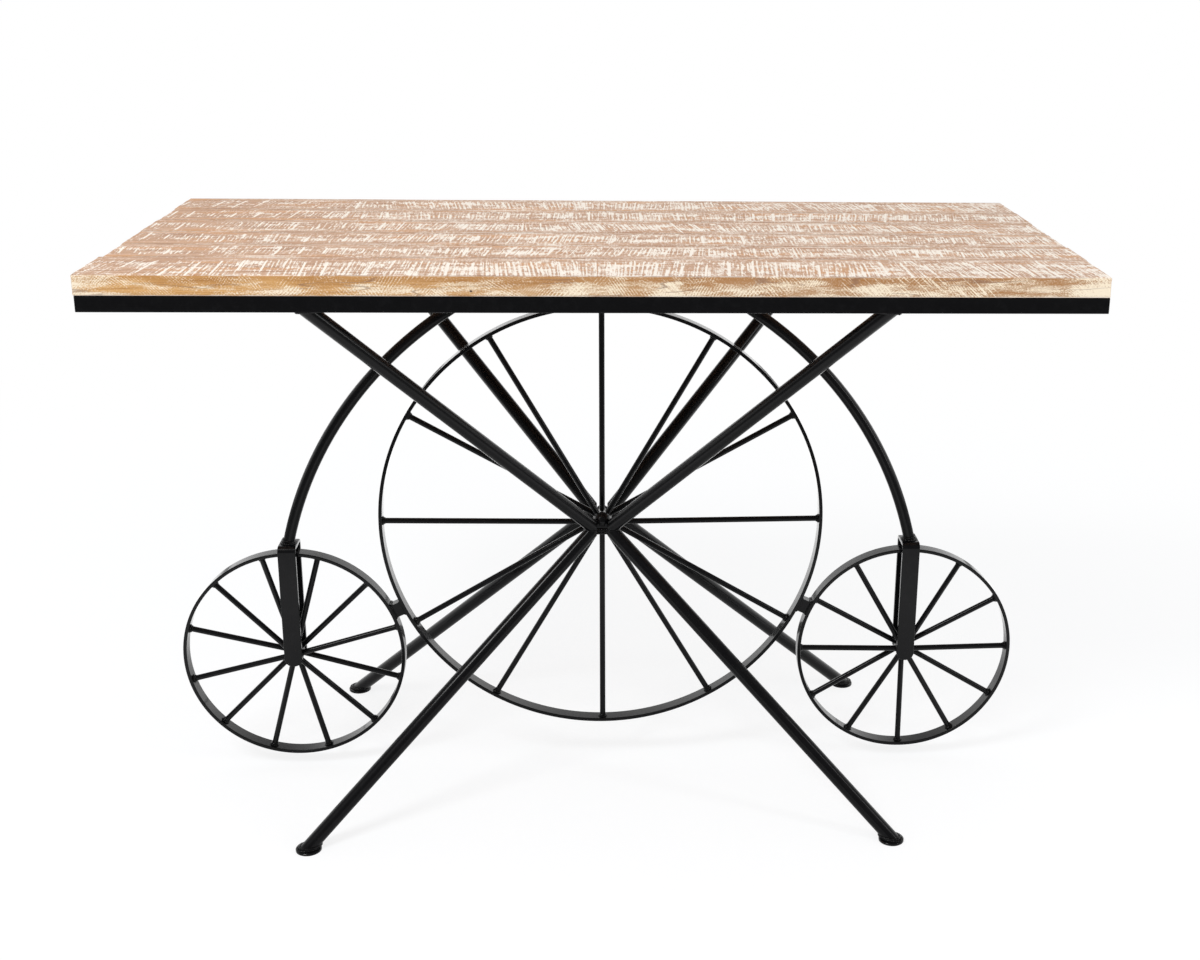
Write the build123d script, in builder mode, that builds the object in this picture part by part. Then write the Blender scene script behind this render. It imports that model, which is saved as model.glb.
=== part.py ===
from build123d import *
import math
import os

# Console table on three spoked wheels. Millimetres, +Z up, X along the length, the front at -Y.
# The origin is on the floor below the middle of the table.

# ------------------------------------------------------------------ driving dimensions
# Top: six rough-sawn boards laid lengthwise, listed from the front edge to the back edge.
# The sixth board, at the back, is ripped to the width that is left.
table_length = 1220.0
table_depth = 552.5
table_height = 784.0
board_thickness = 25.0
full_board_widths = (107.0, 83.0, 89.0, 88.0, 90.0)
board_gap = 0.3
board_edge_ease = 0.8
left_end_cut_back = (0.0, 5.0, 3.0, 2.0, 3.5, 1.5)
right_end_cut_back = (1.0, 0.0, 2.0, 3.0, 1.0, 2.5)

# Welded frame of square tube under the boards.
rail_size = 20.0
rail_wall = 1.5
rail_corner = 1.2
rail_set_in = 1.0
end_rail_set_in = 2.0
cross_rail_spacing = 400.0

# Screws driven up through the rails into the boards.
screw_radius = 2.0
screw_bite = 15.0
screw_tip = 3.0
screw_head_radius = 4.0
screw_head_height = 2.6
screw_hole_clearance = 0.15
pilot_end_room = 1.0
screw_rail_clearance = 1.0

# Crossed tubes, from the hub of the big wheel up to the rails and down to the feet.
leg_radius = 9.5
leg_wall = 1.5
strut_top_x = 344.0
strut_top_set_in = 11.5
foot_x = 390.0
foot_y = 235.0
foot_radius = 17.0
foot_thickness = 3.0
foot_ease = 0.8
apex_gap = 15.0
apex_land = 2.8
apex_set_back = 2.0

# Big wheel, held clear of the floor below and of the rails above. Its hub is a short drum on a
# bar, and the bar reaches the crossed tubes.
big_rim_floor_clearance = 65.0
big_rim_top_clearance = 50.0
big_hub_radius = 12.0
big_hub_length = 34.0
big_hub_ease = 3.5
big_hub_bar_radius = 9.0
big_hub_bar_length = 72.0
big_spoke_stagger = 8.0
big_spoke_phase = 0.0

# Small wheels, carried in forks beside the big wheel. The rim gap is where the link fits in.
small_rim_radius = 156.5
small_rim_floor_clearance = 19.5
rim_gap = 14.5
small_hub_radius = 10.5
small_spoke_stagger = 6.0
small_spoke_phases = {"left": 15.0, "right": 0.0}

# Stock shared by all wheels.
rim_width = 20.0
rim_thickness = 5.0
spoke_radius = 4.0
spoke_count = 12

# Forks of flat bar, bows of round tube and the links between the rims.
fork_width = 25.0
fork_thickness = 5.0
fork_gap = 32.0
fork_bend_radius = 8.0
fork_rim_clearance = 7.5
fork_nose_ease = 11.5
bow_radius = 552.0
bow_tube_radius = 8.0
bow_tube_wall = 1.5
bow_top_x = 85.0
link_height = 20.0
link_depth = 16.0

# ------------------------------------------------------------------ places worked out from them
rear_board_width = table_depth - sum(full_board_widths) - board_gap * len(full_board_widths)
board_widths = (*full_board_widths, rear_board_width)
board_bottom = table_height - board_thickness
rail_bottom = board_bottom - rail_size
frame_half_length = table_length / 2 - end_rail_set_in
frame_half_depth = table_depth / 2 - rail_set_in
rail_middle_y = frame_half_depth - rail_size / 2
end_rail_middle_x = frame_half_length - rail_size / 2
cross_rail_x = cross_rail_spacing / 2
rail_hole_radius = screw_radius + screw_hole_clearance

board_front_edges = [
    -table_depth / 2 + sum(board_widths[:i]) + board_gap * i for i in range(len(board_widths))
]
board_middles = [edge + width / 2 for edge, width in zip(board_front_edges, board_widths)]

# A screw stands in the middle of its board. In the cross rails it also stays clear of the long rails.
cross_rail_half = frame_half_depth - rail_size
cross_screw_reach = cross_rail_half - screw_head_radius - screw_rail_clearance
cross_screws_y = [max(-cross_screw_reach, min(cross_screw_reach, y)) for y in board_middles]

big_rim_radius = (rail_bottom - big_rim_top_clearance - big_rim_floor_clearance) / 2
big_rim_inner = big_rim_radius - rim_thickness
hub_height = big_rim_floor_clearance + big_rim_radius
small_rim_inner = small_rim_radius - rim_thickness
small_wheel_z = small_rim_floor_clearance + small_rim_radius
wheel_spacing = big_rim_radius + rim_gap + small_rim_radius
small_wheel_x = math.sqrt(wheel_spacing**2 - (hub_height - small_wheel_z) ** 2)
fork_top = small_wheel_z + small_rim_radius + fork_rim_clearance + fork_thickness

hub_centre = Vector(0, 0, hub_height)
apex_x = apex_gap / 2 + apex_land
apex_y = big_hub_bar_length / 2 - apex_set_back


def on_side(side, point):
    """Mirror a right-hand, rear point to the named corner or side."""
    x = -point.X if "left" in side else point.X
    y = -point.Y if "front" in side else point.Y
    return Vector(x, y, point.Z)


def export_piece(piece, name):
    piece.part.label = name
    export_step(piece.part, f"parts/{name}.step")


os.makedirs("parts", exist_ok=True)

# ------------------------------------------------------------------ boards of the top
for number, (middle_y, cross_screw_y, width, left_cut, right_cut) in enumerate(
    zip(board_middles, cross_screws_y, board_widths, left_end_cut_back, right_end_cut_back), start=1
):
    left_end = -table_length / 2 + left_cut
    right_end = table_length / 2 - right_cut
    screw_places = [
        (-end_rail_middle_x, middle_y),
        (-cross_rail_x, cross_screw_y),
        (cross_rail_x, cross_screw_y),
        (end_rail_middle_x, middle_y),
    ]
    with BuildPart() as board:
        with BuildSketch(Plane.XY.offset(board_bottom)):
            with Locations(((left_end + right_end) / 2, middle_y)):
                Rectangle(right_end - left_end, width)
        extrude(amount=board_thickness)
        chamfer(board.faces().sort_by(Axis.Z)[-1].edges(), board_edge_ease)
        with Locations([Location((x, y, board_bottom), (180, 0, 0)) for x, y in screw_places]):
            Hole(rail_hole_radius, depth=screw_bite + pilot_end_room)
    export_piece(board, f"top_board_{number}")


# ------------------------------------------------------------------ rails of the frame
def tube_section():
    """Square tube section with rounded outside corners, drawn in the open sketch."""
    RectangleRounded(rail_size, rail_size, rail_corner)
    Rectangle(rail_size - 2 * rail_wall, rail_size - 2 * rail_wall, mode=Mode.SUBTRACT)


def rail_section_plane(origin, along):
    return Plane(origin=origin, x_dir=Vector(0, 0, 1), z_dir=along)


rail_middle_z = rail_bottom + rail_size / 2

for side, sign in (("front", -1), ("rear", 1)):
    start = Vector(-frame_half_length, sign * rail_middle_y, rail_middle_z)
    left_corner = Vector(-frame_half_length, sign * frame_half_depth, rail_middle_z)
    right_corner = Vector(frame_half_length, sign * frame_half_depth, rail_middle_z)
    with BuildPart() as long_rail:
        with BuildSketch(rail_section_plane(start, Vector(1, 0, 0))):
            tube_section()
        extrude(amount=2 * frame_half_length)
        split(bisect_by=Plane(left_corner, z_dir=(1, sign, 0)), keep=Keep.TOP)
        split(bisect_by=Plane(right_corner, z_dir=(-1, sign, 0)), keep=Keep.TOP)
    export_piece(long_rail, f"{side}_rail")

for side, sign in (("left", -1), ("right", 1)):
    start = Vector(sign * end_rail_middle_x, -frame_half_depth, rail_middle_z)
    front_corner = Vector(sign * frame_half_length, -frame_half_depth, rail_middle_z)
    rear_corner = Vector(sign * frame_half_length, frame_half_depth, rail_middle_z)
    end_screw_places = [(sign * end_rail_middle_x, y, rail_bottom) for y in board_middles]
    with BuildPart() as end_rail:
        with BuildSketch(rail_section_plane(start, Vector(0, 1, 0))):
            tube_section()
        extrude(amount=2 * frame_half_depth)
        split(bisect_by=Plane(front_corner, z_dir=(sign, 1, 0)), keep=Keep.TOP)
        split(bisect_by=Plane(rear_corner, z_dir=(sign, -1, 0)), keep=Keep.TOP)
        with Locations([Location(place, (180, 0, 0)) for place in end_screw_places]):
            Hole(rail_hole_radius, depth=rail_size)
    export_piece(end_rail, f"{side}_end_rail")

for side, sign in (("left", -1), ("right", 1)):
    start = Vector(sign * cross_rail_x, -cross_rail_half, rail_middle_z)
    cross_screw_places = [(sign * cross_rail_x, y, rail_bottom) for y in cross_screws_y]
    with BuildPart() as cross_rail:
        with BuildSketch(rail_section_plane(start, Vector(0, 1, 0))):
            tube_section()
        extrude(amount=2 * cross_rail_half)
        with Locations([Location(place, (180, 0, 0)) for place in cross_screw_places]):
            Hole(rail_hole_radius, depth=rail_size)
    export_piece(cross_rail, f"{side}_cross_rail")

centre_rail_half = cross_rail_x - rail_size / 2
with BuildPart() as centre_rail:
    with BuildSketch(rail_section_plane(Vector(-centre_rail_half, 0, rail_middle_z), Vector(1, 0, 0))):
        tube_section()
    extrude(amount=2 * centre_rail_half)
export_piece(centre_rail, "centre_rail")

# ------------------------------------------------------------------ screws into the boards
with BuildPart() as screw:
    with BuildSketch(Plane.XZ):
        with BuildLine():
            Polyline(
                (0, -screw_head_height),
                (screw_head_radius * 0.6, -screw_head_height),
                (screw_head_radius, -screw_head_height * 0.4),
                (screw_head_radius, 0),
                (screw_radius, 0),
                (screw_radius, rail_size + screw_bite - screw_tip),
                (0, rail_size + screw_bite),
                close=True,
            )
        make_face()
    revolve(axis=Axis.Z)

for group, rail_x, screws_y in (
    ("end_rail", end_rail_middle_x, board_middles),
    ("cross_rail", cross_rail_x, cross_screws_y),
):
    with BuildPart() as screws:
        with Locations([(x, y, rail_bottom) for x in (-rail_x, rail_x) for y in screws_y]):
            add(screw.part)
    export_piece(screws, f"{group}_screws")

# ------------------------------------------------------------------ crossed struts and legs
# Each strut meets a leg in a mitred elbow beside the hub, cut off square where it faces its twin.
CORNERS = ("front_left", "front_right", "rear_left", "rear_right")
arm_overrun = 3 * leg_radius


def build_arm(corner, part_of_elbow, hollow=True):
    """Strut or leg of one corner: a straight tube, mitred and cut square at its hub end."""
    apex = on_side(corner, Vector(apex_x, apex_y, hub_height))
    strut_end = on_side(corner, Vector(strut_top_x, frame_half_depth - strut_top_set_in, rail_bottom))
    leg_end = on_side(corner, Vector(foot_x, foot_y, foot_thickness))
    upward = (strut_end - apex).normalized()
    downward = (leg_end - apex).normalized()
    along, end = {"strut": (upward, strut_end), "leg": (downward, leg_end)}[part_of_elbow]
    outward = Vector(math.copysign(1, apex.X), 0, 0)
    with BuildPart() as arm:
        with BuildSketch(Plane(apex - along * arm_overrun, z_dir=along)):
            Circle(leg_radius)
            if hollow:
                Circle(leg_radius - leg_wall, mode=Mode.SUBTRACT)
        extrude(amount=(end - apex).length + 2 * arm_overrun)
        split(bisect_by=Plane(apex, z_dir=along - (upward + downward) * 0.5), keep=Keep.TOP)
        split(bisect_by=Plane(outward * (apex_gap / 2), z_dir=outward), keep=Keep.TOP)
        split(bisect_by=Plane.XY.offset(foot_thickness), keep=Keep.TOP)
        split(bisect_by=Plane.XY.offset(rail_bottom), keep=Keep.BOTTOM)
    return arm


for corner in CORNERS:
    export_piece(build_arm(corner, "strut"), f"{corner}_strut")
    export_piece(build_arm(corner, "leg"), f"{corner}_leg")
    foot_place = on_side(corner, Vector(foot_x, foot_y, 0))
    with BuildPart() as foot:
        with BuildSketch():
            with Locations((foot_place.X, foot_place.Y)):
                Circle(foot_radius)
        extrude(amount=foot_thickness)
        chamfer(foot.faces().sort_by(Axis.Z)[-1].edges(), foot_ease)
    export_piece(foot, f"{corner}_foot")


# ------------------------------------------------------------------ wheels
def wheel_plane(centre):
    """Plane of a wheel: its x axis is the table's X and its y axis points up."""
    return Plane(origin=centre, x_dir=(1, 0, 0), z_dir=(0, -1, 0))


def build_rim(centre, outer_radius):
    with BuildPart() as rim:
        with BuildSketch(wheel_plane(centre)):
            Circle(outer_radius)
            Circle(outer_radius - rim_thickness, mode=Mode.SUBTRACT)
        extrude(amount=rim_width / 2, both=True)
    return rim


def build_spokes(centre, rim_inner, hub, hub_radius, stagger, phase):
    """Round bars from the hub to the rim, coped to both. Their hub ends sit in two rows."""
    with BuildPart() as spokes:
        for k in range(spoke_count):
            angle = math.radians(phase + 360 / spoke_count * k)
            outward = Vector(math.cos(angle), 0, math.sin(angle))
            row = stagger if k % 2 else -stagger
            hub_end = centre + outward * hub_radius + Vector(0, row, 0)
            rim_end = centre + outward * rim_inner
            along = (rim_end - hub_end).normalized()
            with BuildSketch(Plane(hub_end - along * spoke_radius, z_dir=along)):
                Circle(spoke_radius)
            extrude(amount=(rim_end - hub_end).length + 2 * spoke_radius)
        with BuildSketch(wheel_plane(centre)):
            Circle(rim_inner)
        extrude(amount=rim_width + stagger, both=True, mode=Mode.INTERSECT)
        add(hub.part, mode=Mode.SUBTRACT)
    return spokes


# The hub is a solid drum on a bar, and the spokes stand on the drum. The bar passes between the
# elbows, which are closer together than it is thick, so it is coped to them on both sides.
solid_arms = [build_arm(corner, name, hollow=False) for corner in CORNERS for name in ("strut", "leg")]
with BuildPart() as hub_drum:
    with BuildSketch(wheel_plane(hub_centre)):
        Circle(big_hub_radius)
    extrude(amount=big_hub_length / 2, both=True)
    fillet(hub_drum.edges().filter_by(GeomType.CIRCLE), big_hub_ease)

with BuildPart() as big_hub:
    with BuildSketch(wheel_plane(hub_centre)):
        Circle(big_hub_bar_radius)
    extrude(amount=big_hub_bar_length / 2, both=True)
    for arm in solid_arms:
        add(arm.part, mode=Mode.SUBTRACT)
    add(hub_drum.part)
export_piece(big_hub, "big_wheel_hub")

export_piece(build_rim(hub_centre, big_rim_radius), "big_wheel_rim")
export_piece(
    build_spokes(hub_centre, big_rim_inner, big_hub, big_hub_radius, big_spoke_stagger, big_spoke_phase),
    "big_wheel_spokes",
)

fork_half = fork_gap / 2

# Centre of a bow's arc, on the right-hand side, from its two ends and its radius.
bow_run = small_wheel_x - bow_top_x
bow_climb = rail_bottom - fork_top
bow_half_chord = math.hypot(bow_run, bow_climb) / 2
bow_depth = math.sqrt(bow_radius**2 - bow_half_chord**2)
bow_centre_x = (small_wheel_x + bow_top_x) / 2 - bow_depth * bow_climb / (2 * bow_half_chord)
bow_centre_z = (rail_bottom + fork_top) / 2 - bow_depth * bow_run / (2 * bow_half_chord)

for side in ("left", "right"):
    centre = on_side(side, Vector(small_wheel_x, 0, small_wheel_z))
    export_piece(build_rim(centre, small_rim_radius), f"{side}_wheel_rim")
    with BuildPart() as small_hub:
        with BuildSketch(wheel_plane(centre)):
            Circle(small_hub_radius)
        extrude(amount=fork_half, both=True)
    export_piece(small_hub, f"{side}_wheel_hub")
    phase = small_spoke_phases[side]
    export_piece(
        build_spokes(centre, small_rim_inner, small_hub, small_hub_radius, small_spoke_stagger, phase),
        f"{side}_wheel_spokes",
    )

    # ---------------------------------------------------------------- fork, bent from flat bar
    outer_half = fork_half + fork_thickness
    nose_bottom = small_wheel_z - fork_width / 2
    with BuildPart() as fork:
        with BuildSketch(Plane(origin=(centre.X, 0, 0), x_dir=(0, 1, 0), z_dir=(1, 0, 0))):
            with Locations((0, (fork_top + nose_bottom) / 2)):
                Rectangle(2 * outer_half, fork_top - nose_bottom)
            with Locations((0, (fork_top - fork_thickness + nose_bottom) / 2)):
                Rectangle(2 * fork_half, fork_top - fork_thickness - nose_bottom, mode=Mode.SUBTRACT)
        extrude(amount=fork_width / 2, both=True)
        along_bar = fork.edges().filter_by(Axis.X)
        outer_bends = along_bar.group_by(Axis.Z)[-1]
        inner_bends = along_bar.group_by(Axis.Z)[-2]
        fillet(outer_bends, fork_bend_radius)
        fillet(inner_bends, fork_bend_radius - fork_thickness)
        fillet(fork.edges().filter_by(Axis.Y).group_by(Axis.Z)[0], fork_nose_ease)
    export_piece(fork, f"{side}_fork")

    # ---------------------------------------------------------------- bow, rolled from round tube
    side_of_x = math.copysign(1, centre.X)
    bow_centre = Vector(side_of_x * bow_centre_x, 0, bow_centre_z)
    with BuildPart() as bow:
        with BuildSketch(Plane.XY.offset(bow_centre_z)):
            with Locations((bow_centre.X + side_of_x * bow_radius, 0)):
                Circle(bow_tube_radius)
                Circle(bow_tube_radius - bow_tube_wall, mode=Mode.SUBTRACT)
        revolve(axis=Axis(bow_centre, (0, 1, 0)))
        split(bisect_by=Plane(Vector(0, 0, 0), z_dir=(side_of_x, 0, 0)), keep=Keep.TOP)
        split(bisect_by=Plane.XY.offset(fork_top), keep=Keep.TOP)
        split(bisect_by=Plane.XY.offset(rail_bottom), keep=Keep.BOTTOM)
    export_piece(bow, f"{side}_bow")

    # ---------------------------------------------------------------- link between the two rims
    along = (centre - hub_centre).normalized()
    link_middle = hub_centre + along * (big_rim_radius + rim_gap / 2)
    with BuildPart() as link:
        with BuildSketch(Plane(link_middle, x_dir=along, z_dir=(0, -1, 0))):
            Rectangle(rim_gap + link_height, link_height)
        extrude(amount=link_depth / 2, both=True)
        for wheel_centre, wheel_radius in ((hub_centre, big_rim_radius), (centre, small_rim_radius)):
            with BuildSketch(wheel_plane(wheel_centre)):
                Circle(wheel_radius)
            extrude(amount=link_depth, both=True, mode=Mode.SUBTRACT)
    export_piece(link, f"{side}_link")
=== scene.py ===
# %% [markdown]
# # A console table on spoked wheels
#
# The table has a top of six rough-sawn boards, rubbed with white wash, on a base welded from black
# steel tube and bar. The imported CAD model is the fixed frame: it says where each piece is. This lesson
# dresses that frame. Each step first says what the piece or finish is on the real table, then how it
# is made here and why.

# %% The fixed frame
import math
from contextlib import contextmanager

import bmesh
import bpy
from mathutils import Matrix, Vector


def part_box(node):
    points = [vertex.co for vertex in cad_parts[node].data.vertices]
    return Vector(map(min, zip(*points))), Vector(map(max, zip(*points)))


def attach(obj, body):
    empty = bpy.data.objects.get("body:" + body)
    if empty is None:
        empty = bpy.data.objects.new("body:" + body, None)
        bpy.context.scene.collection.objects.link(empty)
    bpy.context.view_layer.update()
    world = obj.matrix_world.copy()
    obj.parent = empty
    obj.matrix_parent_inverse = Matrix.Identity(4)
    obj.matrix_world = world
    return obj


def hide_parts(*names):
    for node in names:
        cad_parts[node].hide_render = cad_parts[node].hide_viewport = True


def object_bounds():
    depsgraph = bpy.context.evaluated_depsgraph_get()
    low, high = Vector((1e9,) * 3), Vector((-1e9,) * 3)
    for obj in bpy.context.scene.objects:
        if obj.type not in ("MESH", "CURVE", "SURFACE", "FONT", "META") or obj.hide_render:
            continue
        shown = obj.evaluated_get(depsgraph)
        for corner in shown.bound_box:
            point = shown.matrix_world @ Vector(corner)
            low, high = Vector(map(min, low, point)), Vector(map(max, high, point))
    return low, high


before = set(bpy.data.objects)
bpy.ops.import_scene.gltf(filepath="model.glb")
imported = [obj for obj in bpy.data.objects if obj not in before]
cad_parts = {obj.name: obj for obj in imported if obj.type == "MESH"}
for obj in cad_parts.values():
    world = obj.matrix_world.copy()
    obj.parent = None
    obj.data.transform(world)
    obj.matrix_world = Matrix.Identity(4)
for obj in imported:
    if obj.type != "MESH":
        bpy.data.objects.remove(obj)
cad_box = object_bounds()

MM = 0.001
table_size = cad_box[1] - cad_box[0]
print(f"the table is {table_size.x:.3f} m long, {table_size.y:.3f} m deep, {table_size.z:.3f} m high")

# %% [markdown]
# ## The camera
#
# A table like this is shown from somewhat above its top, so that the boards are seen at a flat angle
# and the wheels stay open to view. The camera stands in front of the middle and looks down and
# slightly to the right. A small lens shift then moves the table to the middle of the picture without
# turning the camera any further.

# %% Place the camera
camera_place = Vector((0.002, -2.1031, 1.1654))
camera_turn = math.radians(3.36)
camera_tilt = math.radians(17.4)
camera_roll = math.radians(0.86)


def add_object(name, data):
    """A new object that shows this data, linked into the scene."""
    made = bpy.data.objects.new(name, data)
    bpy.context.scene.collection.objects.link(made)
    return made


camera = add_object("camera", bpy.data.cameras.new("camera"))
camera.data.lens = 47.56
camera.data.shift_x = -0.0768
camera.data.shift_y = -0.0396
camera.matrix_world = (
    Matrix.Translation(camera_place)
    @ Matrix.Rotation(-camera_turn, 4, "Z")
    @ Matrix.Rotation(math.pi / 2 - camera_tilt, 4, "X")
    @ Matrix.Rotation(camera_roll, 4, "Z")
)
bpy.context.scene.camera = camera
print(f"camera {camera_place.length:.2f} m from the middle of the floor")

# %% [markdown]
# ## Arithmetic that writes nodes
#
# Saw marks are a formula of the place on the board. Written as single nodes, such a formula is long
# and hard to read. A small class does the writing: it wraps a node's output, and plus, minus, times
# and divided by add Math nodes to the same tree. Shader trees and Geometry Nodes trees have these
# nodes in common, so one formula can both carve a board and paint it.

# %% One line for one node
def feed(socket, value):
    """Set a socket to a constant, or link it to a Field, a socket or a node's first output."""
    if isinstance(value, Field):
        value = value.socket
    if isinstance(value, bpy.types.Node):
        value = value.outputs[0]
    if isinstance(value, bpy.types.NodeSocket):
        socket.id_data.links.new(value, socket)
    else:
        socket.default_value = value


def feed_all(node, inputs):
    """Feed inputs of a node, each given by its name or its number."""
    for key, value in inputs.items():
        feed(node.inputs[key], value)
    return node


def add_node(tree, kind, inputs=None, **settings):
    """A new node with these settings and these inputs."""
    node = tree.nodes.new(kind)
    for name, value in settings.items():
        setattr(node, name, value)
    return feed_all(node, inputs or {})


# %% A number on a socket
class Field:
    """A number that varies over a surface. Arithmetic on it adds Math nodes to its tree."""

    def __init__(self, socket):
        self.socket = socket
        self.tree = socket.id_data

    def math(self, operation, *others, first=None):
        values = (self, *others) if first is None else (first, self)
        made = add_node(self.tree, "ShaderNodeMath", dict(enumerate(values)), operation=operation)
        return Field(made.outputs[0])

    def __add__(self, other):
        return self.math("ADD", other)

    __radd__ = __add__

    def __sub__(self, other):
        return self.math("SUBTRACT", other)

    def __rsub__(self, other):
        return self.math("SUBTRACT", first=other)

    def __mul__(self, other):
        return self.math("MULTIPLY", other)

    __rmul__ = __mul__

    def __truediv__(self, other):
        return self.math("DIVIDE", other)


# %% Helpers that both kinds of tree can use
def vector(tree, x=0.0, y=0.0, z=0.0):
    """A node that makes a vector from three numbers or Fields."""
    return add_node(tree, "ShaderNodeCombineXYZ", {0: x, 1: y, 2: z})


def split_vector(socket, scale=1.0):
    """The three parts of a vector output, each as a Field."""
    parts = add_node(socket.id_data, "ShaderNodeSeparateXYZ", {0: socket})
    return [Field(part) * scale if scale != 1.0 else Field(part) for part in parts.outputs]


def ramp(value, start, end):
    """0 below start, 1 above end, and a smooth step between them."""
    inputs = {0: value, 1: start, 2: end}
    made = add_node(value.tree, "ShaderNodeMapRange", inputs, interpolation_type="SMOOTHSTEP")
    return Field(made.outputs[0])


def cloud(x, y, layer, detail=0.0, roughness=0.5):
    """Soft noise from 0 to 1. Layers far apart are different patterns."""
    place = vector(x.tree, x, y, layer)
    inputs = {"Vector": place, "Scale": 1.0, "Detail": detail, "Roughness": roughness}
    return Field(add_node(x.tree, "ShaderNodeTexNoise", inputs).outputs[0])


def mix_colours(share, first, second):
    """first where share is 0, second where it is 1. Each is a colour or a colour output."""
    made = add_node(share.tree, "ShaderNodeMix", {0: share, 6: first, 7: second}, data_type="RGBA")
    return made.outputs[2]


def srgb(red, green, blue):
    """A colour as a paint chart gives it, 0 to 255, in the linear values that a shader wants."""
    def linear(value):
        value /= 255
        return value / 12.92 if value <= 0.04045 else ((value + 0.055) / 1.055) ** 2.4

    return (linear(red), linear(green), linear(blue), 1.0)


# %% [markdown]
# ## Black satin paint
#
# The base is welded first and painted whole, so tube, bar and welds share one coat: near black, a
# little blue, smooth but not mirror-like. Almost all of its shine comes from a clear coat with a low
# index, which stays dark where it is seen straight on and is bright at flat angles only. Paint on
# welded steel is never quite even. Slow noise changes its roughness, fine noise gives it the skin of
# sprayed paint, and both stay weak, because black shows every bump in its highlights.

# %% Mix the paint
def new_material(name):
    """An empty material, its Principled shader, and the place on the object in millimetres."""
    material = bpy.data.materials.new(name)
    material.use_nodes = True
    shader = material.node_tree.nodes["Principled BSDF"]
    coordinates = add_node(material.node_tree, "ShaderNodeTexCoord")
    return material, shader, split_vector(coordinates.outputs["Object"], 1 / MM)


def add_bump(shader, height, distance):
    bump = add_node(shader.id_data, "ShaderNodeBump", {"Distance": distance, "Height": height})
    feed(shader.inputs["Normal"], bump)


def mix_black_paint():
    material, shader, (x, y, z) = new_material("black_satin_paint")
    uneven = cloud(x / 35, y / 35 + z / 35, z / 50, detail=2)
    skin = cloud(x / 2.2, y / 2.2, z / 2.2, detail=1)
    dust = cloud(x / 9, y / 9, z / 9, detail=3, roughness=0.65)
    feed_all(shader, {
        "Base Color": mix_colours(ramp(dust, 0.45, 0.8), srgb(7, 7, 9), srgb(14, 14, 16)),
        "Roughness": 0.34 + 0.2 * uneven,
        "Specular IOR Level": 0.08,
        "Coat Weight": 1.0,
        "Coat IOR": 1.2,
        "Coat Roughness": 0.09,
    })
    add_bump(shader, skin, 0.012 * MM)
    return material


black_paint = mix_black_paint()
steel_nodes = [
    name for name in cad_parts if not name.startswith("top_board") and not name.endswith("_screws")
]
for name in steel_nodes:
    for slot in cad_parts[name].material_slots:
        slot.material = black_paint
print(f"painted {len(steel_nodes)} steel nodes")

# %% [markdown]
# ## Saw marks and white wash
#
# A frame saw leaves straight grooves square across the grain: a bold one now and then, finer ones
# between, and here and there a comb with one groove for each tooth. White wash is brushed over the
# sawn face and rubbed off again. It stays in the grooves, so the marks turn white and the ridges
# stay brown. The marks are strongest along the middle of a board. Beside its joints the wood is
# smooth and brown, with long thin lines of wash that run with the grain. One formula gives the marks,
# and how deep the saw cut and how much wash stayed both follow from them.
#
# Distances are in millimetres. What a cloud's place is divided by is about the size of its patches,
# so along / 170 with across / 3.4 makes long thin lines. The number added to the seed picks another
# pattern, and a ramp cuts the cloud to marks with soft edges.

# %% The marks on a sawn face
beat_pitch = 27.0
tooth_pitch = 5.6


def wave(value, pitch):
    """0 to 1 and back, once for each pitch."""
    return (value * (2 * math.pi / pitch)).math("SINE") * 0.5 + 0.5


def face_marks(along, across, half_width, seed, front_reach):
    """The kinds of mark on a board's face, and the part of the board that they are on, all 0 to 1."""
    lean = (cloud(along / 240, 0.5, seed) - 0.5) * 0.7
    row = along + across * lean
    drift = cloud(along / 150, 0.5, seed + 11, detail=1) * 50
    beat = ((row + drift) * (1 / beat_pitch)).math("FRACT")
    place = across / half_width
    reach = cloud(row / 5, 0.5, seed + 13, detail=1) - 0.5
    front_side = ramp(place + reach * 1.2 + front_reach, 0.0, 0.25)
    rear_side = ramp(0.66 + reach * 1.1 - place, 0.0, 0.25)

    bold = ramp(beat, 0.88, 0.91) * ramp(cloud(row / 14, across / 60, seed + 19), 0.4, 0.52)
    fine = cloud(row / 2.8, across / 160, seed + 23, detail=1)
    comb = ramp(wave(row + drift, tooth_pitch), 0.6, 0.85)
    comb = comb * ramp(cloud(along / 80, across / 90, seed + 41), 0.47, 0.53)
    crumbs = ramp(cloud((row + across * 0.22) / 2.5, across / 16, seed + 47, detail=1), 0.52, 0.6)
    return {
        "inside": front_side * rear_side,
        "bold": bold,
        "thin": ramp(fine, 0.56, 0.61),
        "bare": ramp(0.45 - fine, 0.0, 0.05),
        "comb": comb,
        "crumbs": crumbs * ramp(beat, 0.2, 0.85),
    }


print(f"a bold groove every {beat_pitch:.0f} mm, teeth every {tooth_pitch} mm")


# %% Depth and wash on a sawn face
left_end = -560.0


def face_depth(marks):
    """How deep the saw cut, 0 to 1."""
    cuts = marks["bold"] * 0.5 + marks["thin"] * 0.3 + marks["comb"] * 0.35 + marks["crumbs"] * 0.15
    return marks["inside"] * cuts


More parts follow.
